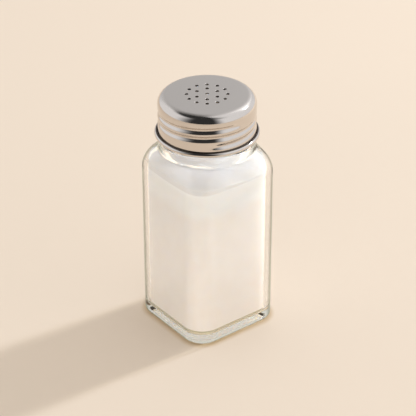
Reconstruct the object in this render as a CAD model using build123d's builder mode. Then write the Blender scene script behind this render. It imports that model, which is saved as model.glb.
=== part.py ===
from build123d import *
import os
from math import atan, cos, radians, sin, sqrt, tan

os.makedirs("parts", exist_ok=True)

# A square glass spice shaker under a perforated steel screw cap, full of fine salt.
# Sizes are in millimetres. The origin is the middle of the foot, +Z is up, and the four
# flat faces of the glass look along X and Y.

# Glass body
body_width = 38.0
corner_radius = 8.0
heel_radius = 2.0
side_height = 61.2
glass_wall = 2.4
glass_base = 3.4
cavity_heel_radius = 3.0
foot_rim_width = 4.5
foot_recess_depth = 0.5

# Shoulder: an arc turns each corner inwards, a slope follows, and a hollow arc meets the neck
shoulder_round = 9.0
shoulder_slope = 52.0
neck_root_round = 1.8
side_bow_angle = 30.0

# Neck
finish_wall = 2.4
neck_length = 18.9
rim_round = 1.8
rim_inner_round = 0.5
collar_inset = 0.3
collar_gap = 0.7
collar_round = 0.8

# Screw thread, shared by the glass and the steel
thread_pitch = 3.2
thread_height = 0.8
thread_width = 2.0
thread_start_angle = -100.0
thread_turn_angle = 700.0
thread_root = 0.4
flank_shift = 0.1
bead_sink = 0.05

# Clearances between the cap and the neck
crest_clearance = 0.3
root_clearance = 0.45
seat_gap = 0.1

# Steel cap: it stands a little inside the faces of the body, and the neck is sized to it
cap_setback = 1.5
sheet = 0.4
skirt_depth = 13.9
roll_radius = 3.3
crown_height = 0.35
groove_width = 3.0
groove_cover = 0.6
groove_height = 2.8
groove_start_angle = -118.0
groove_turn_angle = 750.0

# Rolled edge of the cap
curl_radius = 0.8
curl_turn_angle = 285.0

# Pouring holes
hole_diameter = 1.3
outer_ring_radius = 7.2
outer_ring_count = 12
inner_ring_radius = 4.1
inner_ring_count = 6
ring_start_angle = -7.5

# Salt
salt_gap = 0.1
salt_level = 63.3
salt_tilt = 2.5
salt_tilt_direction = -20.0

# How finely the shoulder's arcs are followed, and how far its loft overlaps the straight sides
arc_steps = 4
run_in = 1.0


def corner_reach(width, corner):
    """Distance from the middle of a rounded square to the outside of its corner."""
    return (width / 2 - corner) * sqrt(2) + corner


def shoulder_profile(convex, hollow, drop):
    """Heights and inward moves of the shoulder at a corner, from the side up to the neck."""
    slope = radians(shoulder_slope)
    arc_rise, arc_drop = sin(slope), 1 - cos(slope)
    straight_drop = drop - (convex + hollow) * arc_drop
    straight_rise = straight_drop / tan(slope)
    total_rise = (convex + hollow) * arc_rise + straight_rise
    levels = []
    for step in range(arc_steps + 1):
        turn = slope * step / arc_steps
        levels.append((convex * sin(turn), convex * (1 - cos(turn))))
    for step in range(arc_steps + 1):
        turn = slope * (1 - step / arc_steps)
        levels.append((total_rise - hollow * sin(turn), drop - hollow * (1 - cos(turn))))
    return levels


def bowed_square(height, side, corner, bow):
    """A four-sided outline of tangent arcs, square where bow is small and round when it is full.

    side and corner are the distances from the middle to a side and to a corner.
    """
    half_angle = radians(bow)
    reach = 1 / (cos(half_angle) - sin(half_angle))
    side_centre = (corner - side) / (1 + reach * (sqrt(2) * sin(half_angle) - 1))
    side_arc = side + side_centre
    corner_arc = side_arc - side_centre * reach
    corner_centre = (side_arc - corner_arc) * sin(half_angle)
    with BuildSketch(Plane.XY.offset(height)) as outline:
        with BuildLine():
            for quarter in range(4):
                turn = Rotation(0, 0, 90 * quarter)
                side_middle = (turn * Pos(-side_centre, 0)).position
                corner_middle = (turn * Pos(corner_centre, corner_centre)).position
                CenterArc(side_middle, side_arc, 90 * quarter - bow, 2 * bow)
                CenterArc(corner_middle, corner_arc, 90 * quarter + bow, 90 - 2 * bow)
        make_face()
    return outline.sketch


def rounded_square(height, width, corner):
    """The square outline of the body at one height."""
    with BuildSketch(Plane.XY.offset(height)) as outline:
        RectangleRounded(width, width, corner)
    return outline.sketch


def body_form(inset, floor, heel, neck_radius):
    """The jar's square body and shoulder, moved inwards by inset, up to the neck's root."""
    width = body_width - 2 * inset
    corner = corner_radius - inset
    reach = corner_reach(width, corner)
    levels = shoulder_profile(shoulder_round - inset, neck_root_round + inset, reach - neck_radius)
    sections = [rounded_square(side_height - run_in, width, corner)]
    sections.append(rounded_square(side_height, width, corner))
    for rise, drop in levels[1:-1]:
        share = drop / (reach - neck_radius)
        side = width / 2 - share * (width / 2 - neck_radius)
        sections.append(bowed_square(side_height + rise, side, reach - drop, side_bow_angle * share))
    neck_root = side_height + levels[-1][0]
    round_section = bowed_square(neck_root, neck_radius, neck_radius, side_bow_angle)
    sections.append(round_section)
    with BuildPart() as form:
        with BuildSketch(Plane.XY.offset(floor)):
            RectangleRounded(width, width, corner)
        extrude(amount=side_height - run_in - floor)
        fillet(form.edges().group_by(Axis.Z)[0], heel)
        loft(sections=sections)
    return form.part, neck_root


def helical_bead(foot, crest, back, width, start, turn, height):
    """A bead wound on a helix about Z, with a bell-shaped section and a domed end at each end.

    foot, crest and back are the radii of its feet, of its crest and of its closed rear side.
    """
    arc_turn = 2 * atan(2 * abs(crest - foot) / width)
    arc_radius = width / 4 / sin(arc_turn)
    away = 1 if crest > foot else -1
    midway = (foot + crest) / 2
    with BuildSketch(Plane.XZ) as upper_half:
        with BuildLine():
            RadiusArc((crest, 0), (midway, width / 4), -away * arc_radius)
            RadiusArc((midway, width / 4), (foot, width / 2), away * arc_radius)
            Polyline((foot, width / 2), (back, width / 2), (back, 0), (crest, 0))
        make_face()
    with BuildSketch(Plane.XZ) as section:
        add(upper_half.sketch)
        mirror(about=Plane.XZ)
    rise = thread_pitch * turn / 360
    with BuildPart() as bead:
        path = Helix(thread_pitch, rise, midway, mode=Mode.PRIVATE)
        sweep(sections=section.sketch, path=path, is_frenet=True)
        revolve(upper_half.sketch, axis=Axis.X, revolution_arc=180)
        last_dome = revolve(upper_half.sketch, axis=Axis.X, revolution_arc=-180, mode=Mode.PRIVATE)
        add(last_dome.rotate(Axis.Z, turn).translate((0, 0, rise)))
    return bead.part.rotate(Axis.Z, start).translate((0, 0, height))


# Sizes that follow from the ones above
cap_radius = body_width / 2 - cap_setback
cap_inner_radius = cap_radius - sheet
finish_radius = cap_inner_radius - crest_clearance - thread_height
bore_radius = finish_radius - finish_wall
groove_depth = thread_height + crest_clearance - root_clearance
collar_radius = cap_radius - collar_inset

outer_form, neck_root = body_form(0, 0, heel_radius, collar_radius)
cavity_form, cavity_top = body_form(glass_wall, glass_base, cavity_heel_radius, bore_radius)
salt_form = body_form(
    glass_wall + salt_gap, glass_base + salt_gap, cavity_heel_radius - salt_gap, bore_radius - salt_gap
)[0]

rim_height = neck_root + neck_length
cap_under = rim_height + seat_gap
cap_edge_top = cap_under + sheet
skirt_end = cap_under - skirt_depth
curl_bottom = skirt_end - curl_radius
collar_top = curl_bottom - collar_gap
groove_start = skirt_end + groove_height
thread_lead = thread_pitch * (thread_start_angle - groove_start_angle) / 360

# Glass jar: body and shoulder, the neck turned on top, one cavity through to the rim
with BuildPart() as glass_jar:
    add(outer_form)
    with BuildSketch(Plane.XZ) as neck_profile:
        with BuildLine():
            Polyline(
                (0, neck_root),
                (collar_radius, neck_root),
                (collar_radius, collar_top),
                (finish_radius, collar_top),
                (finish_radius, rim_height),
                (0, rim_height),
                close=True,
            )
        make_face()
        fillet(neck_profile.vertices().group_by(Axis.Y)[-1].sort_by(Axis.X)[-1], rim_round)
        fillet(neck_profile.vertices().group_by(Axis.X)[-1].sort_by(Axis.Y)[-1], collar_round)
    revolve(axis=Axis.Z)
    add(
        helical_bead(
            finish_radius - bead_sink,
            finish_radius + thread_height,
            finish_radius - thread_root,
            thread_width,
            thread_start_angle,
            thread_turn_angle,
            groove_start + thread_lead + thread_pitch / 2 - flank_shift,
        )
    )
    add(cavity_form, mode=Mode.SUBTRACT)
    with BuildSketch(Plane.XY.offset(cavity_top)):
        Circle(bore_radius)
    extrude(amount=rim_height - cavity_top, mode=Mode.SUBTRACT)
    rim_edges = glass_jar.edges().filter_by(GeomType.CIRCLE).group_by(Axis.Z)[-1]
    fillet(rim_edges.sort_by(SortBy.RADIUS)[0], rim_inner_round)
    with BuildSketch(Plane.XY):
        foot_width = body_width - 2 * foot_rim_width
        RectangleRounded(foot_width, foot_width, corner_radius - foot_rim_width)
    extrude(amount=foot_recess_depth, mode=Mode.SUBTRACT)

glass_jar.part.label = "glass_jar"
export_step(glass_jar.part, "parts/glass_jar.step")

# Salt: the cavity's shape less a hair of air, cut off by its settled surface
with BuildPart() as salt_fill:
    add(salt_form)
    settled = Plane(origin=(0, 0, salt_level)).rotated((0, 0, salt_tilt_direction))
    split(bisect_by=settled.rotated((0, salt_tilt, 0)), keep=Keep.BOTTOM)

salt_fill.part.label = "salt_fill"
export_step(salt_fill.part, "parts/salt_fill.step")


def cap_profile(radius, top, edge_round, crown, bottom):
    """Half of the cap's section: a crowned top, a rolled edge and a straight skirt."""
    with BuildSketch(Plane.XZ) as profile:
        with BuildLine():
            ThreePointArc((-radius, top), (0, top + crown), (radius, top))
            Polyline((radius, top), (radius, bottom), (-radius, bottom), (-radius, top))
        make_face()
        fillet(profile.vertices().group_by(Axis.Y)[-1], edge_round)
        split(bisect_by=Plane.YZ)
    return profile.sketch


# The room inside the cap, with the thread's bead standing into it
with BuildPart() as cap_room:
    revolve(cap_profile(cap_inner_radius, cap_under, roll_radius - sheet, crown_height, skirt_end), Axis.Z)
    add(
        helical_bead(
            cap_inner_radius + bead_sink,
            cap_inner_radius - groove_depth,
            cap_inner_radius + groove_cover,
            groove_width,
            groove_start_angle,
            groove_turn_angle,
            groove_start,
        ),
        mode=Mode.SUBTRACT,
    )

# Cap: the drawn sheet with its pressed thread and the pouring holes
with BuildPart() as cap_shell:
    revolve(cap_profile(cap_radius, cap_edge_top, roll_radius, crown_height, skirt_end), Axis.Z)
    add(
        helical_bead(
            cap_radius + bead_sink,
            cap_radius - groove_depth,
            cap_radius + groove_cover,
            groove_width,
            groove_start_angle,
            groove_turn_angle,
            groove_start,
        ),
        mode=Mode.SUBTRACT,
    )
    add(cap_room.part, mode=Mode.SUBTRACT)
    drill_top = cap_edge_top + crown_height + sheet
    with Locations((0, 0, drill_top)):
        Hole(hole_diameter / 2, drill_top - cap_under + sheet)
        with PolarLocations(inner_ring_radius, inner_ring_count, ring_start_angle):
            Hole(hole_diameter / 2, drill_top - cap_under + sheet)
        with PolarLocations(outer_ring_radius, outer_ring_count, ring_start_angle):
            Hole(hole_diameter / 2, drill_top - cap_under + sheet)

cap_shell.part.label = "cap_shell"
export_step(cap_shell.part, "parts/cap_shell.step")

# Rolled edge: the skirt's lower end curled outwards and back up
with BuildPart() as cap_rolled_edge:
    with BuildSketch(Plane.XZ):
        with BuildLine():
            curl_middle = (cap_inner_radius + curl_radius, skirt_end)
            outer_arc = CenterArc(curl_middle, curl_radius, 180, curl_turn_angle)
            inner_arc = CenterArc(curl_middle, curl_radius - sheet, 180, curl_turn_angle)
            Line(outer_arc @ 0, inner_arc @ 0)
            Line(outer_arc @ 1, inner_arc @ 1)
        make_face()
    revolve(axis=Axis.Z)

cap_rolled_edge.part.label = "cap_rolled_edge"
export_step(cap_rolled_edge.part, "parts/cap_rolled_edge.step")

print(f"neck root {neck_root:.2f}, rim {rim_height:.2f}, skirt end {skirt_end:.2f}")
print(f"cap radius {cap_radius:.2f}, height {cap_edge_top + crown_height:.2f}")
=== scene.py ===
from math import atan2, cos, degrees, pi, radians, sin, sqrt, tan

import bmesh
import bpy
from mathutils import Matrix, Vector, noise


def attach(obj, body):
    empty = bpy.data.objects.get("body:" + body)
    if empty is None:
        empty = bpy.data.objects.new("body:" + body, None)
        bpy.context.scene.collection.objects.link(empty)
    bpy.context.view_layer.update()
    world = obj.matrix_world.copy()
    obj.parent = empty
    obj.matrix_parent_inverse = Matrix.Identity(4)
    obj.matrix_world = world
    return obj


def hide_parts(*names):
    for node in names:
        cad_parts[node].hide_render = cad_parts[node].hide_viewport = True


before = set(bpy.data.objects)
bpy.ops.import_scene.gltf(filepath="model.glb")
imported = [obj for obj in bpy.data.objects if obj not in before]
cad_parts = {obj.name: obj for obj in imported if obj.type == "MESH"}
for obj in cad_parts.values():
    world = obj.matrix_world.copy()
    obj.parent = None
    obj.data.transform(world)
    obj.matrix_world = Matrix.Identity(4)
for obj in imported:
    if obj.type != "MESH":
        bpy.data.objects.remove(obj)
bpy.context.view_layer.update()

bl_info = {
    "name": "Spice shaker",
    "version": (1, 0, 0),
    "blender": (4, 5, 0),
    "location": "View3D > Sidebar > Shaker",
    "description": "A square glass spice shaker under a perforated steel screw cap, full of fine salt",
    "category": "Object",
}

# Down to the stage, lengths are in millimetres and angles in degrees. A finished mesh is scaled to metres.
MM = 0.001
MERGE_DISTANCE = 0.002

# Glass body
BODY_HALF = 19.0
CORNER_ROUND = 8.0
HEEL_ROUND = 2.0
SIDE_TOP = 61.2
FOOT_RIM = 4.5
FOOT_RECESS = 0.5
GLASS_WALL = 1.9
GLASS_BASE = 3.4
CAVITY_HEEL = 1.9
CAVITY_CORNER = 6.7

# Rings of the foot's recess, from inside it out to the bearing rim: share of the recess's size, and height
FOOT_RINGS = ((0.98, FOOT_RECESS), (1, FOOT_RECESS), (1, 0.12), (1.008, 0), (1.02, 0))

# Shoulder, whose outlines go from square, with the least bow in their sides, to round, with the full one
SHOULDER_ROUND = 9.0
SHOULDER_SLOPE = 52.0
NECK_ROOT_ROUND = 1.8
FULL_BOW = 30.0
LEAST_BOW = 0.05

# Neck: the radii of its bore, its threaded finish and the collar under that, and then its heights and rounds
BORE = 13.6
FINISH = 16.0
COLLAR = 17.2
COLLAR_TOP = 75.034
COLLAR_ROUND = 0.8
RIM = 90.334
RIM_ROUND = 1.8
RIM_INNER_ROUND = 0.5
NECK_STEP = 0.25

# Screw thread: a bead on the glass and a groove pressed into the steel
PITCH = 3.2
THREAD_LAPS = range(-1, 4)
BEAD_HEIGHT = 0.8
BEAD_HALF_WIDTH = 1.0
BEAD_START = -100.0
BEAD_TURN = 700.0
BEAD_BASE = 80.994
GROOVE_DEPTH = 0.65
GROOVE_HALF_WIDTH = 1.5
GROOVE_START = -118.0
GROOVE_TURN = 750.0
GROOVE_BASE = 79.334
GROOVE_FADE = 22.0

# Steel cap
SHEET = 0.4
CAP_RADIUS = 17.5
CAP_TOP = 90.834
CAP_CROWN = 0.35
CAP_ROLL = 3.3
SKIRT_END = 76.534
CURL_RADIUS = 0.8
CURL_TURN = 285.0
PLATE_RADIUS = 9.2

# Pouring holes: the radius of each ring of them and how many it has. The rings of the lip pressed round each
# hole have how far they stand out from it, and how deep they lie.
HOLE_RADIUS = 0.65
HOLE_RINGS = ((4.1, 6), (7.2, 12))
HOLES_START = -7.5
LIP_RINGS = ((0.18, 0.0), (0.1, 0.004), (0.04, 0.015), (0.0, 0.05))

# Where the cap's steel is painted dark as shade: on faces that look inwards or down, on the upright walls of
# its holes, and on the strip of the curl that meets the skirt, given by shares of the curl's radius
FACING = 0.5
UPRIGHT = 0.3
WALL_DEPTH = 0.1
SEAM_HEIGHT = 0.93
SEAM_REACH = 0.36

# Salt. It touches the glass up to a height over the cavity's floor, and parts from it over the next fade. Its
# side ends below its level, because the surface slopes. Each unevenness has a frequency, a height and a slice
# of the noise.
SALT_GAP = 0.1
SALT_SEAT = 0.02
SALT_TOUCH = 0.13
TOUCH_HEIGHT = 0.5
TOUCH_FADE = 1.2
SALT_LEVEL = 63.3
SALT_EDGE_DROP = 2.4
SALT_TILT = 2.5
SALT_TILT_DIRECTION = -20.0
SALT_UNEVENNESS = ((0.13, 0.35, 3), (1.3, 0.07, 9))
SALT_RINGS = 30

# How the ring of points round the jar is spread: shares of a flat side, then steps round a corner
SIDE_SHARES = (-1, -0.97, -0.9, -0.76, -0.6, -0.45, -0.3, -0.15, 0, 0.15, 0.3, 0.45, 0.6, 0.76, 0.9, 0.97)
CORNER_STEPS = 16

# Steps in the other curves
SKIN_STEPS = 12
SALT_SKIN_STEPS = 24
COLLAR_STEPS = 6
RIM_STEPS = 8
RIM_INNER_STEPS = 4
CROWN_STEPS = 9
ROLL_STEPS = 24
CURL_STEPS = 24
CAP_STEPS = 256
HOLE_SIDES = 28
SKIRT_STEP = 0.16

# Heights between which finishes change: of the glass over the top of its sides, of the salt's painted light
# and painted shade under its level, of the salt's two thin painted bands over the top of the cavity's heel,
# and of the cap's satin under its top edge
SHOULDER_WAVES = (0, 4)
SHOULDER_SHADE = (-1, 4)
SALT_PAINTED_GLOW = (-13, -5)
SALT_PAINTED_SHADE = (-1.6, -0.8)
PAINTED_HEEL_BAND = (-1.6, -1.1, -0.4, 0)
PAINTED_HEEL_LINE = (-0.6, -0.2, 0, 0.3)
SATIN_EDGE = (-0.5, -0.02)

# From where to where glass turns edge on, for the eye and for the lamps' light: 0 is flat on, 1 is edge on
EDGE_SEEN = (0.5, 0.75)
EDGE_SHADED = (0.7, 1.0)

# Darkest and palest places of mottled finishes as shares of their colour, and the roughness of steel's flecks
INSIDE_DARKEST = 0.8
GLOW_DARKEST = 0.85
TABLE_DARKEST = 0.985
TABLE_PALEST = 1.015
STEEL_FLECK = 0.05


def corner_reach(half, corner):
    """Distance from the middle of a rounded square to the outside of its corner."""
    return (half - corner) * sqrt(2) + corner


def quarter_turn(steps):
    """Angles that divide a quarter of a turn."""
    return [pi / 2 * step / steps for step in range(steps + 1)]


def outwards(point):
    """Level direction from the axis to a point."""
    return Vector((point.x, point.y, 0)).normalized()


def at_height(outline, height):
    """A flat outline lifted to a height."""
    return [Vector((point.x, point.y, height)) for point in outline]


def bowed_square(side, corner, bow):
    """Outline of eight tangent arcs, at the distance side on the axes and at corner between them.

    The bow is half the angle of a side's arc.
    """
    half = radians(max(bow, LEAST_BOW))
    reach = 1 / (cos(half) - sin(half))
    side_centre = (corner - side) / (1 + reach * (sqrt(2) * sin(half) - 1))
    side_arc = side + side_centre
    corner_arc = side_arc - side_centre * reach
    corner_centre = Vector((1, 1)) * (side_arc - corner_arc) * sin(half)
    points = []
    for quarter in range(4):
        turn = Matrix.Rotation(quarter * pi / 2, 2)
        for share in SIDE_SHARES:
            angle = half * share
            points.append(turn @ Vector((side_arc * cos(angle) - side_centre, side_arc * sin(angle))))
        for step in range(CORNER_STEPS):
            angle = half + (pi / 2 - 2 * half) * step / CORNER_STEPS
            points.append(turn @ (corner_centre + corner_arc * Vector((cos(angle), sin(angle)))))
    return points


def circle_ring(radius, height):
    """A round ring with the same spread of points as the square ones."""
    return at_height(bowed_square(radius, radius, FULL_BOW), height)


def shoulder_levels(convex, hollow, full_drop, steps):
    """Heights and inward moves of the shoulder at a corner, from the side up to the neck."""
    slope = radians(SHOULDER_SLOPE)
    straight_drop = full_drop - (convex + hollow) * (1 - cos(slope))
    full_rise = (convex + hollow) * sin(slope) + straight_drop / tan(slope)
    levels = []
    for step in range(steps + 1):
        turn = slope * step / steps
        levels.append((convex * sin(turn), convex * (1 - cos(turn))))
    for step in range(steps + 1):
        turn = slope * (1 - step / steps)
        levels.append((full_rise - hollow * sin(turn), full_drop - hollow * (1 - cos(turn))))
    return levels


def skin_rings(inset, floor, heel, neck_radius, corner, steps=SKIN_STEPS):
    """Rings of the body's skin, moved inwards by inset, from its floor up to the neck's root."""
    half = BODY_HALF - inset
    reach = corner_reach(half, corner)
    rings = []
    for turn in quarter_turn(steps // 2):
        inwards = heel * (1 - sin(turn))
        outline = bowed_square(half - inwards, reach - inwards, 0)
        rings.append(at_height(outline, floor + heel * (1 - cos(turn))))
    full_drop = reach - neck_radius
    levels = shoulder_levels(SHOULDER_ROUND - inset, NECK_ROOT_ROUND + inset, full_drop, steps)
    for rise, drop in levels:
        share = drop / full_drop
        side = half - share * (half - neck_radius)
        rings.append(at_height(bowed_square(side, reach - drop, FULL_BOW * share), SIDE_TOP + rise))
    return rings


def neck_rings():
    """Rings of the collar, the threaded finish and the rim, from the shoulder up and over into the bore."""
    rings = []
    for turn in quarter_turn(COLLAR_STEPS):
        radius = COLLAR - COLLAR_ROUND * (1 - cos(turn))
        rings.append(circle_ring(radius, COLLAR_TOP - COLLAR_ROUND * (1 - sin(turn))))
    straight = RIM - RIM_ROUND - COLLAR_TOP
    steps = int(straight / NECK_STEP)
    for step in range(steps + 1):
        ring = circle_ring(FINISH, COLLAR_TOP + straight * step / steps)
        rings.append([point + outwards(point) * bead_rise(point) for point in ring])
    for turn in quarter_turn(RIM_STEPS)[1:]:
        rings.append(circle_ring(FINISH - RIM_ROUND * (1 - cos(turn)), RIM - RIM_ROUND * (1 - sin(turn))))
    for turn in quarter_turn(RIM_INNER_STEPS):
        radius = BORE + RIM_INNER_ROUND * (1 - sin(turn))
        rings.append(circle_ring(radius, RIM - RIM_INNER_ROUND * (1 - cos(turn))))
    return rings


def bell(distance):
    """Height of a smooth hump of unit height and unit half width."""
    return 0.5 + 0.5 * cos(pi * min(abs(distance), 1))


def ease(share):
    """A smooth step from 0 to 1."""
    share = min(max(share, 0), 1)
    return share * share * (3 - 2 * share)


def bead_rise(point):
    """How far the glass thread stands out at a point of the neck."""
    angle = degrees(atan2(point.y, point.x))
    rise = 0
    for lap in THREAD_LAPS:
        along = angle + 360 * lap - BEAD_START
        height = BEAD_BASE + PITCH * min(max(along, 0), BEAD_TURN) / 360
        past = radians(max(-along, along - BEAD_TURN, 0)) * FINISH
        distance = sqrt((point.z - height) ** 2 + past**2)
        rise = max(rise, BEAD_HEIGHT * bell(distance / BEAD_HALF_WIDTH))
    return rise


def groove_fall(point):
    """How far the cap's pressed thread is sunk at a point of its skirt."""
    angle = degrees(atan2(point.y, point.x))
    fall = 0
    for lap in THREAD_LAPS:
        along = angle + 360 * lap - GROOVE_START
        height = GROOVE_BASE + PITCH * along / 360
        strength = ease((along + GROOVE_FADE) / (2 * GROOVE_FADE))
        strength *= ease((GROOVE_TURN + GROOVE_FADE - along) / (2 * GROOVE_FADE))
        fall = max(fall, GROOVE_DEPTH * strength * bell((point.z - height) / GROOVE_HALF_WIDTH))
    return fall


def raise_ring(mesh, ring, points):
    """Extrudes a closed ring of vertices and moves the new ring to points."""
    edges = [mesh.edges.get(pair) for pair in zip(ring, ring[1:] + ring[:1])]
    grown = set(bmesh.ops.extrude_edge_only(mesh, edges=edges)["geom"])
    upper = []
    for vertex, point in zip(ring, points):
        fresh = next(e.other_vert(vertex) for e in vertex.link_edges if e.other_vert(vertex) in grown)
        fresh.co = point
        upper.append(fresh)
    return upper


def thrown(rings):
    """A closed mesh whose skin is drawn up from its first ring through all the others."""
    mesh = bmesh.new()
    first = bmesh.ops.create_circle(mesh, segments=len(rings[0]), radius=1)["verts"]
    for vertex, point in zip(first, rings[0]):
        vertex.co = point
    last = first
    for points in rings[1:]:
        last = raise_ring(mesh, last, points)
    for end in (first, last):
        bmesh.ops.contextual_create(mesh, geom=end)
    return mesh


def closed(mesh):
    """Merges the vertices that meet and turns every face outwards."""
    bmesh.ops.remove_doubles(mesh, verts=mesh.verts, dist=MERGE_DISTANCE)
    bmesh.ops.recalc_face_normals(mesh, faces=mesh.faces)


def shown(mesh, name, materials):
    """Makes a mesh an object of the scene."""
    data = bpy.data.meshes.new(name)
    mesh.to_mesh(data)
    mesh.free()
    for material in materials:
        data.materials.append(material)
    made = bpy.data.objects.new(name, data)
    bpy.context.collection.objects.link(made)
    return made


def finished(mesh, name, materials, body, node):
    """Makes a mesh in millimetres a smooth piece in metres that rides on a body and stands for a CAD node."""
    closed(mesh)
    bmesh.ops.scale(mesh, vec=(MM, MM, MM), verts=mesh.verts)
    piece = shown(mesh, name, materials)
    piece.data.shade_smooth()
    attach(piece, body)
    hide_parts(node)


# Materials


def give(tree, socket, value):
    """Links a socket to another one, or sets it to a number, a vector or a colour of three parts."""
    if isinstance(value, bpy.types.NodeSocket):
        tree.links.new(value, socket)
    else:
        socket.default_value = (*value, 1) if socket.type == "RGBA" else value


def new_node(tree, kind, inputs=(), **options):
    """A node with its options set, and with its inputs given values by their names or numbers."""
    node = tree.nodes.new(kind)
    for name, value in options.items():
        setattr(node, name, value)
    for name, value in dict(inputs).items():
        give(tree, node.inputs[name], value)
    return node


def new_material(name):
    """A node material with nothing in it. Returns it and its node tree."""
    material = bpy.data.materials.new(name)
    material.use_nodes = True
    material.node_tree.nodes.clear()
    return material, material.node_tree


def maths(tree, operation, *values):
    """Result of one operation on values, each a socket or a number."""
    return new_node(tree, "ShaderNodeMath", enumerate(values), operation=operation).outputs["Value"]


def vector_maths(tree, operation, *values):
    """Result of one operation on vectors, each a socket or three numbers."""
    node = new_node(tree, "ShaderNodeVectorMath", enumerate(values), operation=operation)
    return node.outputs["Value" if operation == "LENGTH" else "Vector"]


def mapped(tree, value, low, high, start=0.0, end=1.0):
    """A smooth step of value between low and high, from start to end."""
    ends = {"From Min": low, "From Max": high, "To Min": start, "To Max": end}
    step = new_node(tree, "ShaderNodeMapRange", {"Value": value, **ends}, interpolation_type="SMOOTHSTEP")
    return step.outputs["Result"]


def band(tree, value, levels):
    """A mask that rises between the first two levels of value and falls between the last two."""
    return maths(tree, "MULTIPLY", mapped(tree, value, *levels[:2]), mapped(tree, value, *levels[2:], 1, 0))


def mixed(tree, factor, first, second, blend="MIX"):
    """A colour made of two, each a socket or a colour of three parts."""
    inputs = {"Factor": factor, "A": first, "B": second}
    return new_node(tree, "ShaderNodeMix", inputs, data_type="RGBA", blend_type=blend).outputs["Result"]


def between(tree, factor, first, second):
    """A number between two, each a socket or a number."""
    return new_node(tree, "ShaderNodeMix", {"Factor": factor, "A": first, "B": second}).outputs["Result"]


def either(tree, factor, first, second):
    """The first shader where factor is 0, and the second where it is 1."""
    return new_node(tree, "ShaderNodeMixShader", {0: factor, 1: first, 2: second}).outputs["Shader"]


def grain_group():
    """Fine random relief and mottling, which every material uses with its own values."""
    if "Surface grain" in bpy.data.node_groups:
        return bpy.data.node_groups["Surface grain"]
    group = bpy.data.node_groups.new("Surface grain", "ShaderNodeTree")
    for name, default in (("Fine scale", 2500.0), ("Coarse scale", 120.0), ("Coarse share", 0.4)):
        socket = group.interface.new_socket(name, in_out="INPUT", socket_type="NodeSocketFloat")
        socket.default_value = default
    for name in ("Relief", "Mottle"):
        group.interface.new_socket(name, in_out="OUTPUT", socket_type="NodeSocketFloat")
    given = new_node(group, "NodeGroupInput").outputs
    where = new_node(group, "ShaderNodeTexCoord").outputs["Object"]
    fine = new_node(
        group, "ShaderNodeTexNoise", {"Vector": where, "Scale": given["Fine scale"], "Detail": 3}
    ).outputs["Fac"]
    coarse = new_node(
        group, "ShaderNodeTexNoise", {"Vector": where, "Scale": given["Coarse scale"], "Detail": 4}
    ).outputs["Fac"]
    relief = between(group, given["Coarse share"], fine, coarse)
    new_node(group, "NodeGroupOutput", {"Relief": relief, "Mottle": coarse})
    return group


def surface_grain(tree, fine, coarse, share):
    """Outputs of a surface grain node with its own scales and share of the coarse one."""
    inputs = {"Fine scale": fine, "Coarse scale": coarse, "Coarse share": share}
    return new_node(tree, "ShaderNodeGroup", inputs, node_tree=grain_group()).outputs


def roughened(tree, relief, strength, distance):
    """Normals of a surface with a relief whose full height is a distance in metres."""
    inputs = {"Height": relief, "Strength": strength, "Distance": distance}
    return new_node(tree, "ShaderNodeBump", inputs).outputs["Normal"]


def own_height(tree):
    """Height over the foot in the piece's own coordinates, in metres."""
    where = new_node(tree, "ShaderNodeTexCoord").outputs["Object"]
    return new_node(tree, "ShaderNodeSeparateXYZ", {"Vector": where}).outputs["Z"]


def levels_from(base, offsets):
    """Heights in metres of offsets from a base, both in millimetres."""
    return [(base + offset) * MM for offset in offsets]


def toned(colour, share):
    """A colour made darker or paler."""
    return [min(part * share, 1) for part in colour]


def glass_material(settings):
    """Clear pressed glass with slight waves, greenish where it is seen edge on.

    The lamps' light goes straight on through it to the salt and the table, and is dimmed at its edges and in
    the shoulder.
    """
    material, tree = new_material("clear glass")
    path = new_node(tree, "ShaderNodeLightPath").outputs
    facing = new_node(tree, "ShaderNodeLayerWeight", {"Blend": 0.5}).outputs["Facing"]
    height = own_height(tree)
    edge = maths(tree, "MULTIPLY", mapped(tree, facing, *EDGE_SEEN), path["Is Camera Ray"])
    grain = surface_grain(tree, fine=300, coarse=70, share=0.8)
    waves = mapped(tree, height, *levels_from(SIDE_TOP, SHOULDER_WAVES), start=0.15, end=0.45)
    glass = new_node(tree, "ShaderNodeBsdfPrincipled", {
        "Base Color": mixed(tree, edge, settings.tint, settings.edge),
        "Roughness": 0.0,
        "IOR": 1.5,
        "Transmission Weight": 1.0,
        "Normal": roughened(tree, grain["Relief"], strength=waves, distance=0.0002),
    })
    shoulder = mapped(tree, height, *levels_from(SIDE_TOP, SHOULDER_SHADE))
    passed = mixed(tree, shoulder, settings.shade, settings.shoulder_shade)
    passed = mixed(tree, mapped(tree, facing, *EDGE_SHADED), passed, settings.edge_shade)
    clear = new_node(tree, "ShaderNodeBsdfTransparent", {"Color": passed})
    surface = either(tree, path["Is Shadow Ray"], glass.outputs["BSDF"], clear.outputs["BSDF"])
    new_node(tree, "ShaderNodeOutputMaterial", {"Surface": surface})
    return material


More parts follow.
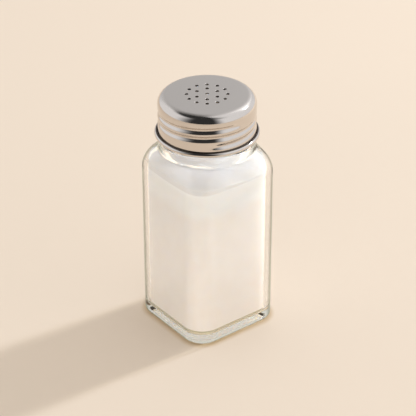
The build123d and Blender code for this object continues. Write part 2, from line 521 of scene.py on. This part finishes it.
def salt_material(settings):
    """White salt whose grains scatter light a few millimetres deep.

    Painted light: it is whiter under its top, where light from above glows down through the grains. Painted
    shade: its top surface is duller, to hold back the strong light falling on it, and it has a tan band with
    a thin dark olive line in the jar's heel, which stand in for the foot of the glass bending the light.
    """
    material, tree = new_material("fine salt")
    grain = surface_grain(tree, fine=2200, coarse=260, share=0.35)
    patches = new_node(
        tree, "ShaderNodeMapRange", {"Value": grain["Mottle"], "From Min": 0.35, "From Max": 0.65}
    ).outputs["Result"]
    height = own_height(tree)
    heel_top = GLASS_BASE + CAVITY_HEEL
    colour = mixed(tree, patches, settings.shade, settings.colour)
    # The first mask paints light under the salt's top; the others paint shade on its top surface and in the
    # heel
    for mask, other in (
        (mapped(tree, height, *levels_from(SALT_LEVEL, SALT_PAINTED_GLOW)), settings.top),
        (mapped(tree, height, *levels_from(SALT_LEVEL, SALT_PAINTED_SHADE)), settings.shaded),
        (band(tree, height, levels_from(heel_top, PAINTED_HEEL_BAND)), settings.heel),
        (band(tree, height, levels_from(heel_top, PAINTED_HEEL_LINE)), settings.heel_line),
    ):
        colour = mixed(tree, mask, colour, other)
    salt = new_node(tree, "ShaderNodeBsdfPrincipled", {
        "Base Color": colour,
        "Roughness": 0.75,
        "Specular IOR Level": 0.3,
        "Subsurface Weight": 1.0,
        "Subsurface Radius": (1.0, 0.92, 0.8),
        "Subsurface Scale": settings.scatter,
        "Normal": roughened(tree, grain["Relief"], strength=0.6, distance=0.00012),
    })
    new_node(tree, "ShaderNodeOutputMaterial", {"Surface": salt.outputs["BSDF"]})
    return material


def steel_material(settings):
    """Stainless sheet, satin on the flat top and polished down the roll and the side, with fine flecks."""
    material, tree = new_material("stainless steel")
    grain = surface_grain(tree, fine=4000, coarse=900, share=0.5)
    edge = levels_from(CAP_TOP, SATIN_EDGE)
    finish = mapped(tree, own_height(tree), *edge, start=settings.polish, end=settings.satin)
    steel = new_node(tree, "ShaderNodeBsdfPrincipled", {
        "Base Color": settings.colour,
        "Metallic": 1.0,
        "Roughness": maths(tree, "MULTIPLY_ADD", grain["Mottle"], STEEL_FLECK, finish),
        "Normal": roughened(tree, grain["Relief"], strength=0.06, distance=0.00003),
    })
    new_node(tree, "ShaderNodeOutputMaterial", {"Surface": steel.outputs["BSDF"]})
    return material


def painted_shade_steel_material(settings):
    """Rough steel painted dark as shade on the cap's inner side, the walls of its holes and the seam of its
    curl.
    """
    material, tree = new_material("steel in painted shade")
    grain = surface_grain(tree, fine=3000, coarse=700, share=0.5)
    steel = new_node(tree, "ShaderNodeBsdfPrincipled", {
        "Base Color": mixed(tree, grain["Mottle"], toned(settings.inside, INSIDE_DARKEST), settings.inside),
        "Metallic": 1.0,
        "Roughness": 0.5,
    })
    new_node(tree, "ShaderNodeOutputMaterial", {"Surface": steel.outputs["BSDF"]})
    return material


def cap_steels(settings):
    """The polished steel and the steel painted dark as shade, which the cap and its curl share."""
    return [
        bpy.data.materials.get("stainless steel") or steel_material(settings),
        bpy.data.materials.get("steel in painted shade") or painted_shade_steel_material(settings),
    ]


# Settings


def length_property(name, description, default):
    return bpy.props.FloatProperty(
        name=name, description=description, default=default, subtype="DISTANCE", unit="LENGTH", precision=5
    )


def angle_property(name, description, default):
    return bpy.props.FloatProperty(
        name=name, description=description, default=radians(default), subtype="ANGLE", unit="ROTATION"
    )


def share_property(name, description, default):
    return bpy.props.FloatProperty(
        name=name, description=description, default=default, min=0, max=1, subtype="FACTOR"
    )


def colour_property(name, description, default):
    return bpy.props.FloatVectorProperty(
        name=name, description=description, default=default, subtype="COLOR", size=3, min=0, max=1
    )


class ShakerGlass(bpy.types.PropertyGroup):
    """Colours of the glass."""

    tint: colour_property(
        "Tint", "Colour that the glass gives to what is seen through it", (0.992, 0.986, 0.978)
    )
    edge: colour_property("Edge", "Colour of the glass where it is seen edge on", (0.16, 0.2, 0.145))
    shade: colour_property(
        "Shade", "Light that the glass lets through to the salt and the table", (0.985, 0.99, 0.985)
    )
    edge_shade: colour_property(
        "Edge shade", "Light let through where it meets the glass edge on", (0.5, 0.44, 0.34)
    )
    shoulder_shade: colour_property(
        "Shoulder shade", "Light that the curved shoulder lets through", (0.62, 0.63, 0.64)
    )


class ShakerSalt(bpy.types.PropertyGroup):
    """Colours of the salt and its depth of scatter."""

    colour: colour_property("Colour", "Colour of most of the grains", (0.91, 0.873, 0.852))
    shade: colour_property("Shade", "Colour of the duller patches", (0.892, 0.85, 0.825))
    # Painted light: the salt is made whiter just under its top, where light from above glows down through it
    top: colour_property("Top", "Colour of the salt just under its top", (1.0, 1.0, 1.0))
    # Painted shade: the salt's top surface is made duller to hold back the strong light falling on it from
    # above
    shaded: colour_property("Loose", "Colour of the loose salt on top", (0.785, 0.77, 0.765))
    # Painted shade: the tan band and the thin dark olive line stand in for the glass heel bending the light
    # and the shade under it
    heel: colour_property("Heel", "Colour of the salt in the rounded heel of the jar", (0.95, 0.85, 0.68))
    heel_line: colour_property(
        "Heel line", "Colour of the thin line at the top of the heel", (0.42, 0.40, 0.27)
    )
    scatter: length_property("Scatter", "How deep light spreads between the grains", 0.006)


class ShakerSteel(bpy.types.PropertyGroup):
    """Colours and finish of the cap."""

    colour: colour_property("Colour", "Colour of the steel's reflections", (0.70, 0.65, 0.605))
    # Painted shade: this dark colour is given to the cap's inner side, the walls of its holes and the seam of
    # its curl
    inside: colour_property("Inside", "Colour of the cap's dull inner side", (0.12, 0.095, 0.08))
    satin: share_property("Satin", "Roughness of the flat top", 0.34)
    polish: share_property("Polish", "Roughness of the roll and the side", 0.07)


class ShakerStage(bpy.types.PropertyGroup):
    """The table, the lights and the camera."""

    table: colour_property("Table", "Colour of the table", (0.875, 0.755, 0.643))
    ambient: colour_property("Ambient", "Light from all round", (0.755, 0.727, 0.68))
    glow: colour_property(
        "Glow", "Light that the glass foot gathers on the table under it", (0.70, 0.69, 0.62)
    )
    fill: bpy.props.FloatProperty(
        name="Fill",
        description="Power of the light that the clear shoulder gathers over the salt",
        default=0.002,
        min=0,
        subtype="POWER",
        unit="POWER",
    )
    lamp_height: angle_property("Lamp height", "Height of the lamp above the table, as an angle", 38)
    lamp_heading: angle_property("Lamp heading", "Direction of the lamp, counted from +X", -4.3)
    camera_distance: length_property("Camera distance", "From the camera to the middle of the jar", 0.653)


# Pieces


class SHAKER_OT_glass(bpy.types.Operator):
    """Throw the glass jar: foot, square body, shoulder, threaded neck and cavity in one skin"""

    bl_idname = "shaker.glass"
    bl_label = "Glass jar"

    def execute(self, context):
        recess = BODY_HALF - FOOT_RIM
        foot = bowed_square(recess, corner_reach(recess, CORNER_ROUND - FOOT_RIM), 0)
        rings = [at_height([point * share for point in foot], height) for share, height in FOOT_RINGS]
        rings += skin_rings(0, 0, HEEL_ROUND, COLLAR, CORNER_ROUND)
        rings += neck_rings()
        rings += reversed(skin_rings(GLASS_WALL, GLASS_BASE, CAVITY_HEEL, BORE, CAVITY_CORNER))
        glass = glass_material(context.scene.shaker_glass)
        finished(thrown(rings), "glass-jar", [glass], "jar", "glass_jar")
        return {"FINISHED"}


def salt_height(point):
    """Height of the settled salt over a point of the jar's plan."""
    heading = radians(SALT_TILT_DIRECTION)
    along = point.x * cos(heading) + point.y * sin(heading)
    height = SALT_LEVEL - along * tan(radians(SALT_TILT))
    for frequency, swell, slice_height in SALT_UNEVENNESS:
        height += noise.noise(Vector((point.x, point.y, slice_height)) * frequency) * swell
    return height


class SHAKER_OT_salt(bpy.types.Operator):
    """Fill the jar with salt up to its settled, slightly sloping surface"""

    bl_idname = "shaker.salt"
    bl_label = "Salt"

    def execute(self, context):
        body = skin_rings(
            inset=GLASS_WALL + SALT_GAP,
            floor=GLASS_BASE - SALT_SEAT,
            heel=CAVITY_HEEL - SALT_GAP,
            neck_radius=BORE - SALT_GAP,
            corner=CAVITY_CORNER - SALT_GAP,
            steps=SALT_SKIN_STEPS,
        )
        rings = []
        for ring in body:
            height = ring[0].z
            touch = 1 - ease((height - GLASS_BASE - TOUCH_HEIGHT) / TOUCH_FADE)
            share = 1 + SALT_TOUCH * touch / BODY_HALF
            rings.append(at_height([point * share for point in ring], height))
        edge = next(ring for ring in rings if ring[0].z > SALT_LEVEL)
        rings = [ring for ring in rings if ring[0].z < SALT_LEVEL - SALT_EDGE_DROP]
        for step in range(SALT_RINGS):
            surface = [point * (1 - step / SALT_RINGS) for point in edge]
            rings.append([Vector((point.x, point.y, salt_height(point))) for point in surface])
        salt = salt_material(context.scene.shaker_salt)
        finished(thrown(rings), "salt", [salt], "jar", "salt_fill")
        return {"FINISHED"}


def crown_ball(edge):
    """Radius of the large ball that the domed top is a part of."""
    return (edge**2 + CAP_CROWN**2) / (2 * CAP_CROWN)


def crown_line(radius, sheet_inside):
    """Height of the cap's slightly domed top over a radius, on its outer or inner face."""
    ball = crown_ball(CAP_RADIUS - sheet_inside)
    return CAP_TOP - sheet_inside + CAP_CROWN - radius**2 / (2 * ball)


def cap_face(sheet_inside):
    """Points of one face of the cap's section, from its perforated middle out and down to the skirt's end."""
    edge = CAP_RADIUS - sheet_inside
    roll = CAP_ROLL - sheet_inside
    ball = crown_ball(edge)
    roll_centre = edge - roll
    lean = atan2(roll_centre, ball - roll)
    roll_height = CAP_TOP - sheet_inside + CAP_CROWN - ball + sqrt((ball - roll) ** 2 - roll_centre**2)
    points = []
    for step in range(CROWN_STEPS):
        radius = PLATE_RADIUS + (roll_centre - PLATE_RADIUS) * step / CROWN_STEPS
        points.append((radius, crown_line(radius, sheet_inside)))
    for step in range(ROLL_STEPS + 1):
        turn = (pi / 2 - lean) * (1 - step / ROLL_STEPS)
        points.append((roll_centre + roll * cos(turn), roll_height + roll * sin(turn)))
    steps = round((roll_height - SKIRT_END) / SKIRT_STEP)
    for step in range(1, steps + 1):
        points.append((edge, roll_height + (SKIRT_END - roll_height) * step / steps))
    return points


def section_spun(mesh, points, steps):
    """Spins a section's chain of points once round the axis."""
    chain = [mesh.verts.new((radius, 0, height)) for radius, height in points]
    edges = [mesh.edges.new(pair) for pair in zip(chain, chain[1:])]
    bmesh.ops.spin(
        mesh, geom=chain + edges, cent=(0, 0, 0), axis=(0, 0, 1), angle=2 * pi, steps=steps, use_merge=True
    )


def hole_middles():
    """Middles of the pouring holes."""
    middles = [Vector((0, 0, 0))]
    for radius, count in HOLE_RINGS:
        for step in range(count):
            angle = radians(HOLES_START + 360 * step / count)
            middles.append(Vector((radius * cos(angle), radius * sin(angle), 0)))
    return middles


def perforated_face(mesh, sheet_inside, lips):
    """The middle of the cap's top on one face, with its holes and the rings of their lips."""
    rings = []
    border = bmesh.ops.create_circle(mesh, segments=CAP_STEPS, radius=PLATE_RADIUS)["verts"]
    edges = list({e for v in border for e in v.link_edges})
    for middle in hole_middles():
        place = Matrix.Translation(middle)
        ring = bmesh.ops.create_circle(
            mesh, segments=HOLE_SIDES, radius=HOLE_RADIUS + lips[0][0], matrix=place
        )["verts"]
        edges += {e for v in ring for e in v.link_edges}
        rings.append((middle, ring))
    bmesh.ops.triangle_fill(mesh, use_beauty=True, edges=edges)
    made = list(border)
    for middle, ring in rings:
        made += ring
        for wider, deeper in lips[1:]:
            centre = middle - Vector((0, 0, deeper))
            directions = [outwards(vertex.co - middle) for vertex in ring]
            ring = raise_ring(mesh, ring, [centre + each * (HOLE_RADIUS + wider) for each in directions])
            made += ring
    for vertex in made:
        vertex.co.z += crown_line(vertex.co.to_2d().length, sheet_inside)


class SHAKER_OT_cap(bpy.types.Operator):
    """Draw the steel cap: perforated top, rolled edge and skirt with its pressed thread"""

    bl_idname = "shaker.cap"
    bl_label = "Steel cap"

    def execute(self, context):
        mesh = bmesh.new()
        section_spun(mesh, cap_face(0) + cap_face(SHEET)[::-1], CAP_STEPS)
        for vertex in mesh.verts:
            if vertex.co.to_2d().length > CAP_RADIUS - CAP_ROLL:
                vertex.co -= outwards(vertex.co) * groove_fall(vertex.co)
        hole_wall = (0.0, SHEET)
        plain_edge = (0.0, 0.0)
        perforated_face(mesh, 0, (*LIP_RINGS, hole_wall))
        perforated_face(mesh, SHEET, (plain_edge,))
        closed(mesh)
        # Painted shade: faces that look inwards or down under the top, and the walls of the holes, get the
        # dark steel
        for face in mesh.faces:
            middle = face.calc_center_median()
            inner = face.normal.dot(outwards(middle)) < -FACING
            under = face.normal.z < -FACING and middle.z > CAP_TOP - CAP_ROLL
            wall = abs(face.normal.z) < UPRIGHT and middle.z > CAP_TOP - WALL_DEPTH
            face.material_index = int(inner or under or wall)
        finished(mesh, "cap", cap_steels(context.scene.shaker_steel), "cap", "cap_shell")
        return {"FINISHED"}


class SHAKER_OT_curl(bpy.types.Operator):
    """Curl the lower edge of the cap's skirt outwards"""

    bl_idname = "shaker.curl"
    bl_label = "Rolled edge"

    def execute(self, context):
        middle = CAP_RADIUS - SHEET + CURL_RADIUS
        turns = [pi + radians(CURL_TURN) * step / CURL_STEPS for step in range(CURL_STEPS + 1)]
        arcs = [(CURL_RADIUS, turn) for turn in turns]
        arcs += [(CURL_RADIUS - SHEET, turn) for turn in reversed(turns)]
        points = [(middle + radius * cos(turn), SKIRT_END + radius * sin(turn)) for radius, turn in arcs]
        mesh = bmesh.new()
        section_spun(mesh, points + points[:1], CAP_STEPS // 2)
        # Painted shade: the strip of the curl that meets the skirt gets the dark steel
        for face in mesh.faces:
            seam = face.calc_center_median()
            high = seam.z > SKIRT_END + CURL_RADIUS * SEAM_HEIGHT
            face.material_index = int(high and seam.to_2d().length < middle + CURL_RADIUS * SEAM_REACH)
        steels = cap_steels(context.scene.shaker_steel)
        finished(mesh, "cap-curl", steels, "cap_lift", "cap_rolled_edge")
        return {"FINISHED"}


# Stage, in metres and radians, but for the camera's lens and sensor, which are in millimetres

TARGET = Vector((0, 0, 0.05))
CAMERA_HEADING = radians(-37.5)
CAMERA_HEIGHT = radians(30.84)
CAMERA_ROLL = radians(-0.14)
CAMERA_LENS = 156.63
CAMERA_SENSOR = 36
CAMERA_NEAREST = 0.01
AIM_RIGHT = 0.00022
AIM_DOWN = 0.00465

# Table: half its width and its cells each way. A soft painted contact shadow round the foot goes from inside
# the body's outline to outside it, by these distances in millimetres.
TABLE_HALF = 3.0
TABLE_CELLS = 8
CONTACT_START = -1
CONTACT_REACH = 2.1
PAINTED_CONTACT_SHADOW = (0.75, 0.66, 0.50)

# Lamps
LAMP_DISTANCE = 1.6
LAMP_SIZE = 0.112
LAMP_POWER = 11.0
LAMP_COLOUR = (0.93, 0.97, 1.0)
FILL_PLACE = (-0.0092, -0.0038, 0.0745)
FILL_SIZE = 0.022
FILL_COLOUR = (0.95, 0.95, 0.97)

# Light under the foot: its height, how much narrower than the body it is, in millimetres, and how many times
# as strong it is for the salt as for the eye
GLOW_HEIGHT = 0.00002
GLOW_INSET = HEEL_ROUND + 1
GLOW_GATHERED = 1.8

# Light has met glass or a matt surface once where its count is over the first of these. Light from all round
# is gathered by the glass, and so is stronger, where it has gone through more faces of it than the second.
MET_ONCE = 0.5
GATHERED_DEPTH = 2.5
GATHERED = 1.9

# What the steel and the glass mirror. The front is dark, a part overhead too, and the back is duller than the
# sides. Headings are in degrees, anticlockwise from the camera's side, and heights are shares of straight up.
FRONT_EDGES = (-80, -32, 14, 42)
OVERHEAD_HEIGHTS = (0.70, 0.86)
OVERHEAD_EDGE = (10, 80)
BACK_EDGES = ((135, 180), (-165, -130))
PANEL_LEVEL = 0.94
BACK_CHANGE = -0.34
DARK_LEVEL = 0.035
DARK_LEVEL_THROUGH_GLASS = 0.45
MIRRORED_COLOUR = (0.96, 0.97, 1.0)
REFRACTED_COLOUR = (0.98, 0.97, 0.94)


def table_material(colour):
    """Plain matt cream table with hardly any grain, and a soft painted contact shadow just round the shaker's
    foot.
    """
    material, tree = new_material("cream table")
    grain = surface_grain(tree, fine=900, coarse=6, share=0.7)
    plain = mixed(tree, grain["Relief"], toned(colour, TABLE_DARKEST), toned(colour, TABLE_PALEST))
    where = new_node(tree, "ShaderNodeTexCoord").outputs["Object"]
    # Painted contact shadow: the table's colour is darkened from just inside the foot's outline to just
    # outside it
    corner = ((BODY_HALF - CORNER_ROUND) * MM, (BODY_HALF - CORNER_ROUND) * MM, 0)
    past_corner = vector_maths(tree, "SUBTRACT", vector_maths(tree, "ABSOLUTE", where), corner)
    away = vector_maths(tree, "LENGTH", vector_maths(tree, "MAXIMUM", past_corner, (0, 0, 0)))
    reach = levels_from(CORNER_ROUND, (CONTACT_START, CONTACT_REACH))
    near = mapped(tree, away, *reach, start=1, end=0)
    table = new_node(tree, "ShaderNodeBsdfPrincipled", {
        "Base Color": mixed(tree, near, plain, PAINTED_CONTACT_SHADOW, blend="MULTIPLY"),
        "Roughness": 0.9,
        "Specular IOR Level": 0.2,
    })
    new_node(tree, "ShaderNodeOutputMaterial", {"Surface": table.outputs["BSDF"]})
    return material


def glow_material(colour):
    """Light that the glass foot gathers on the table under it, stronger for the salt than for the eye."""
    material, tree = new_material("light under the foot")
    bounces = new_node(tree, "ShaderNodeLightPath").outputs["Diffuse Depth"]
    grain = surface_grain(tree, fine=900, coarse=120, share=0.7)
    glow = new_node(tree, "ShaderNodeEmission", {
        "Color": mixed(tree, grain["Relief"], toned(colour, GLOW_DARKEST), colour),
        "Strength": mapped(tree, bounces, 0, 1, start=1, end=GLOW_GATHERED),
    })
    new_node(tree, "ShaderNodeOutputMaterial", {"Surface": glow.outputs["Emission"]})
    return material


def background(tree, colour, strength=1.0):
    """Light from all round in one colour."""
    inputs = {"Color": colour, "Strength": strength}
    return new_node(tree, "ShaderNodeBackground", inputs).outputs["Background"]


def headings(edges):
    """Headings in degrees turned to radians."""
    return [radians(edge) for edge in edges]


def studio_world(scene, settings):
    """The studio's light, by what it falls on.

    Steel mirrors pale panels beside a dark front, glass shows the same front more softly, and all else gets
    an even warm light, which is stronger once the glass has gathered it. Past the table, the eye sees the
    table's own colour.
    """
    world = bpy.data.worlds.new("studio")
    scene.world = world
    world.use_nodes = True
    tree = world.node_tree
    tree.nodes.clear()
    where = new_node(tree, "ShaderNodeTexCoord").outputs["Generated"]
    turned = new_node(
        tree,
        "ShaderNodeVectorRotate",
        {"Vector": where, "Angle": pi / 2 - CAMERA_HEADING},
        rotation_type="Z_AXIS",
    )
    split = new_node(tree, "ShaderNodeSeparateXYZ", {"Vector": turned.outputs["Vector"]}).outputs
    heading = maths(tree, "ARCTAN2", split["Y"], split["X"])
    front = band(tree, heading, headings(FRONT_EDGES))
    overhead = maths(
        tree,
        "MULTIPLY",
        mapped(tree, split["Z"], *OVERHEAD_HEIGHTS),
        mapped(tree, heading, *headings(OVERHEAD_EDGE), start=1, end=0),
    )
    dark = maths(tree, "MAXIMUM", front, overhead)
    rise, fall = BACK_EDGES
    back = maths(
        tree,
        "ADD",
        mapped(tree, heading, *headings(rise)),
        mapped(tree, heading, *headings(fall), start=1, end=0),
    )
    panels = maths(tree, "MULTIPLY_ADD", back, BACK_CHANGE, PANEL_LEVEL)
    mirrored = background(tree, MIRRORED_COLOUR, between(tree, dark, panels, DARK_LEVEL))
    refracted = background(tree, REFRACTED_COLOUR, between(tree, dark, 1.0, DARK_LEVEL_THROUGH_GLASS))
    path = new_node(tree, "ShaderNodeLightPath").outputs
    within = maths(tree, "GREATER_THAN", path["Transmission Depth"], MET_ONCE)
    gathered = maths(tree, "GREATER_THAN", path["Transmission Depth"], GATHERED_DEPTH)
    even = background(tree, settings.ambient, mapped(tree, gathered, 0, 1, start=1, end=GATHERED))
    direct = maths(tree, "LESS_THAN", path["Diffuse Depth"], MET_ONCE)
    shiny = maths(tree, "MAXIMUM", path["Is Glossy Ray"], path["Is Transmission Ray"])
    bright = either(tree, within, mirrored, refracted)
    cast = either(tree, maths(tree, "MULTIPLY", shiny, direct), even, bright)
    surface = either(tree, path["Is Camera Ray"], cast, background(tree, settings.table))
    new_node(tree, "ShaderNodeOutputWorld", {"Surface": surface})


def round_lamp(name, size, power, colour):
    """A lamp with a round face."""
    data = bpy.data.lights.new(name, "AREA")
    data.shape = "DISK"
    data.size = size
    data.energy = power
    data.color = colour
    lamp = bpy.data.objects.new(name, data)
    bpy.context.collection.objects.link(lamp)
    return lamp


def direction(heading, height):
    """Direction with a heading, counted from +X, and a height, both angles."""
    return Vector((cos(heading) * cos(height), sin(heading) * cos(height), sin(height)))


def stand(thing, place, turn):
    """Puts a lamp or the camera in its place with its turn."""
    thing.location = place
    thing.rotation_mode = "QUATERNION"
    thing.rotation_quaternion = turn


class SHAKER_OT_stage(bpy.types.Operator):
    """Set up the cream table, the lamps, the studio's light and the camera"""

    bl_idname = "shaker.stage"
    bl_label = "Stage"

    def execute(self, context):
        scene = context.scene
        settings = scene.shaker_stage
        scene.view_settings.view_transform = "Standard"

        mesh = bmesh.new()
        bmesh.ops.create_grid(mesh, x_segments=TABLE_CELLS, y_segments=TABLE_CELLS, size=TABLE_HALF)
        table = shown(mesh, "table", [table_material(settings.table)])

        mesh = bmesh.new()
        half = BODY_HALF - GLOW_INSET
        rim = bowed_square(half, corner_reach(half, CORNER_ROUND - GLOW_INSET), 0)
        patch = [mesh.verts.new((point.x * MM, point.y * MM, GLOW_HEIGHT)) for point in rim]
        bmesh.ops.contextual_create(mesh, geom=patch)
        glow = shown(mesh, "light-under-foot", [glow_material(settings.glow)])

        fill = round_lamp("fill", FILL_SIZE, settings.fill, FILL_COLOUR)
        fill.location = FILL_PLACE
        fill.visible_camera = False
        fill.visible_glossy = False
        fill.visible_transmission = False

        window = round_lamp("window", LAMP_SIZE, LAMP_POWER, LAMP_COLOUR)
        towards = direction(settings.lamp_heading, settings.lamp_height)
        stand(window, TARGET + towards * LAMP_DISTANCE, towards.to_track_quat("Z", "Y"))
        studio_world(scene, settings)

        camera_data = bpy.data.cameras.new("camera")
        camera_data.lens = CAMERA_LENS
        camera_data.sensor_width = CAMERA_SENSOR
        camera_data.clip_start = CAMERA_NEAREST
        camera = bpy.data.objects.new("camera", camera_data)
        context.collection.objects.link(camera)
        back = direction(CAMERA_HEADING - pi / 2, CAMERA_HEIGHT)
        right = direction(CAMERA_HEADING, 0)
        place = TARGET + back * settings.camera_distance
        aim = TARGET + right * AIM_RIGHT - back.cross(right) * AIM_DOWN
        facing = (aim - place).to_track_quat("-Z", "Y")
        stand(camera, place, facing @ Matrix.Rotation(CAMERA_ROLL, 4, "Z").to_quaternion())
        scene.camera = camera
        return {"FINISHED"}


class SHAKER_PT_pieces(bpy.types.Panel):
    """Makes the shaker piece by piece"""

    bl_idname = "SHAKER_PT_pieces"
    bl_label = "Spice shaker"
    bl_space_type = "VIEW_3D"
    bl_region_type = "UI"
    bl_category = "Shaker"

    def draw(self, context):
        for operator, group in STEPS:
            self.layout.operator(operator.bl_idname)
            settings = getattr(context.scene, group, None)
            if settings:
                for name in settings.__annotations__:
                    self.layout.prop(settings, name)


# The curl has the cap's settings, so it names none of its own
STEPS = (
    (SHAKER_OT_stage, "shaker_stage"),
    (SHAKER_OT_glass, "shaker_glass"),
    (SHAKER_OT_salt, "shaker_salt"),
    (SHAKER_OT_cap, "shaker_steel"),
    (SHAKER_OT_curl, ""),
)
SETTINGS = {
    "shaker_stage": ShakerStage,
    "shaker_glass": ShakerGlass,
    "shaker_salt": ShakerSalt,
    "shaker_steel": ShakerSteel,
}


def register():
    for name, group in SETTINGS.items():
        bpy.utils.register_class(group)
        setattr(bpy.types.Scene, name, bpy.props.PointerProperty(type=group))
    for operator, _ in STEPS:
        bpy.utils.register_class(operator)
    bpy.utils.register_class(SHAKER_PT_pieces)


def unregister():
    bpy.utils.unregister_class(SHAKER_PT_pieces)
    for operator, _ in reversed(STEPS):
        bpy.utils.unregister_class(operator)
    for name, group in SETTINGS.items():
        delattr(bpy.types.Scene, name)
        bpy.utils.unregister_class(group)


def main():
    register()
    bpy.ops.shaker.stage()
    bpy.ops.shaker.glass()
    bpy.ops.shaker.salt()
    bpy.ops.shaker.cap()
    bpy.ops.shaker.curl()


if __name__ == "__main__":
    main()
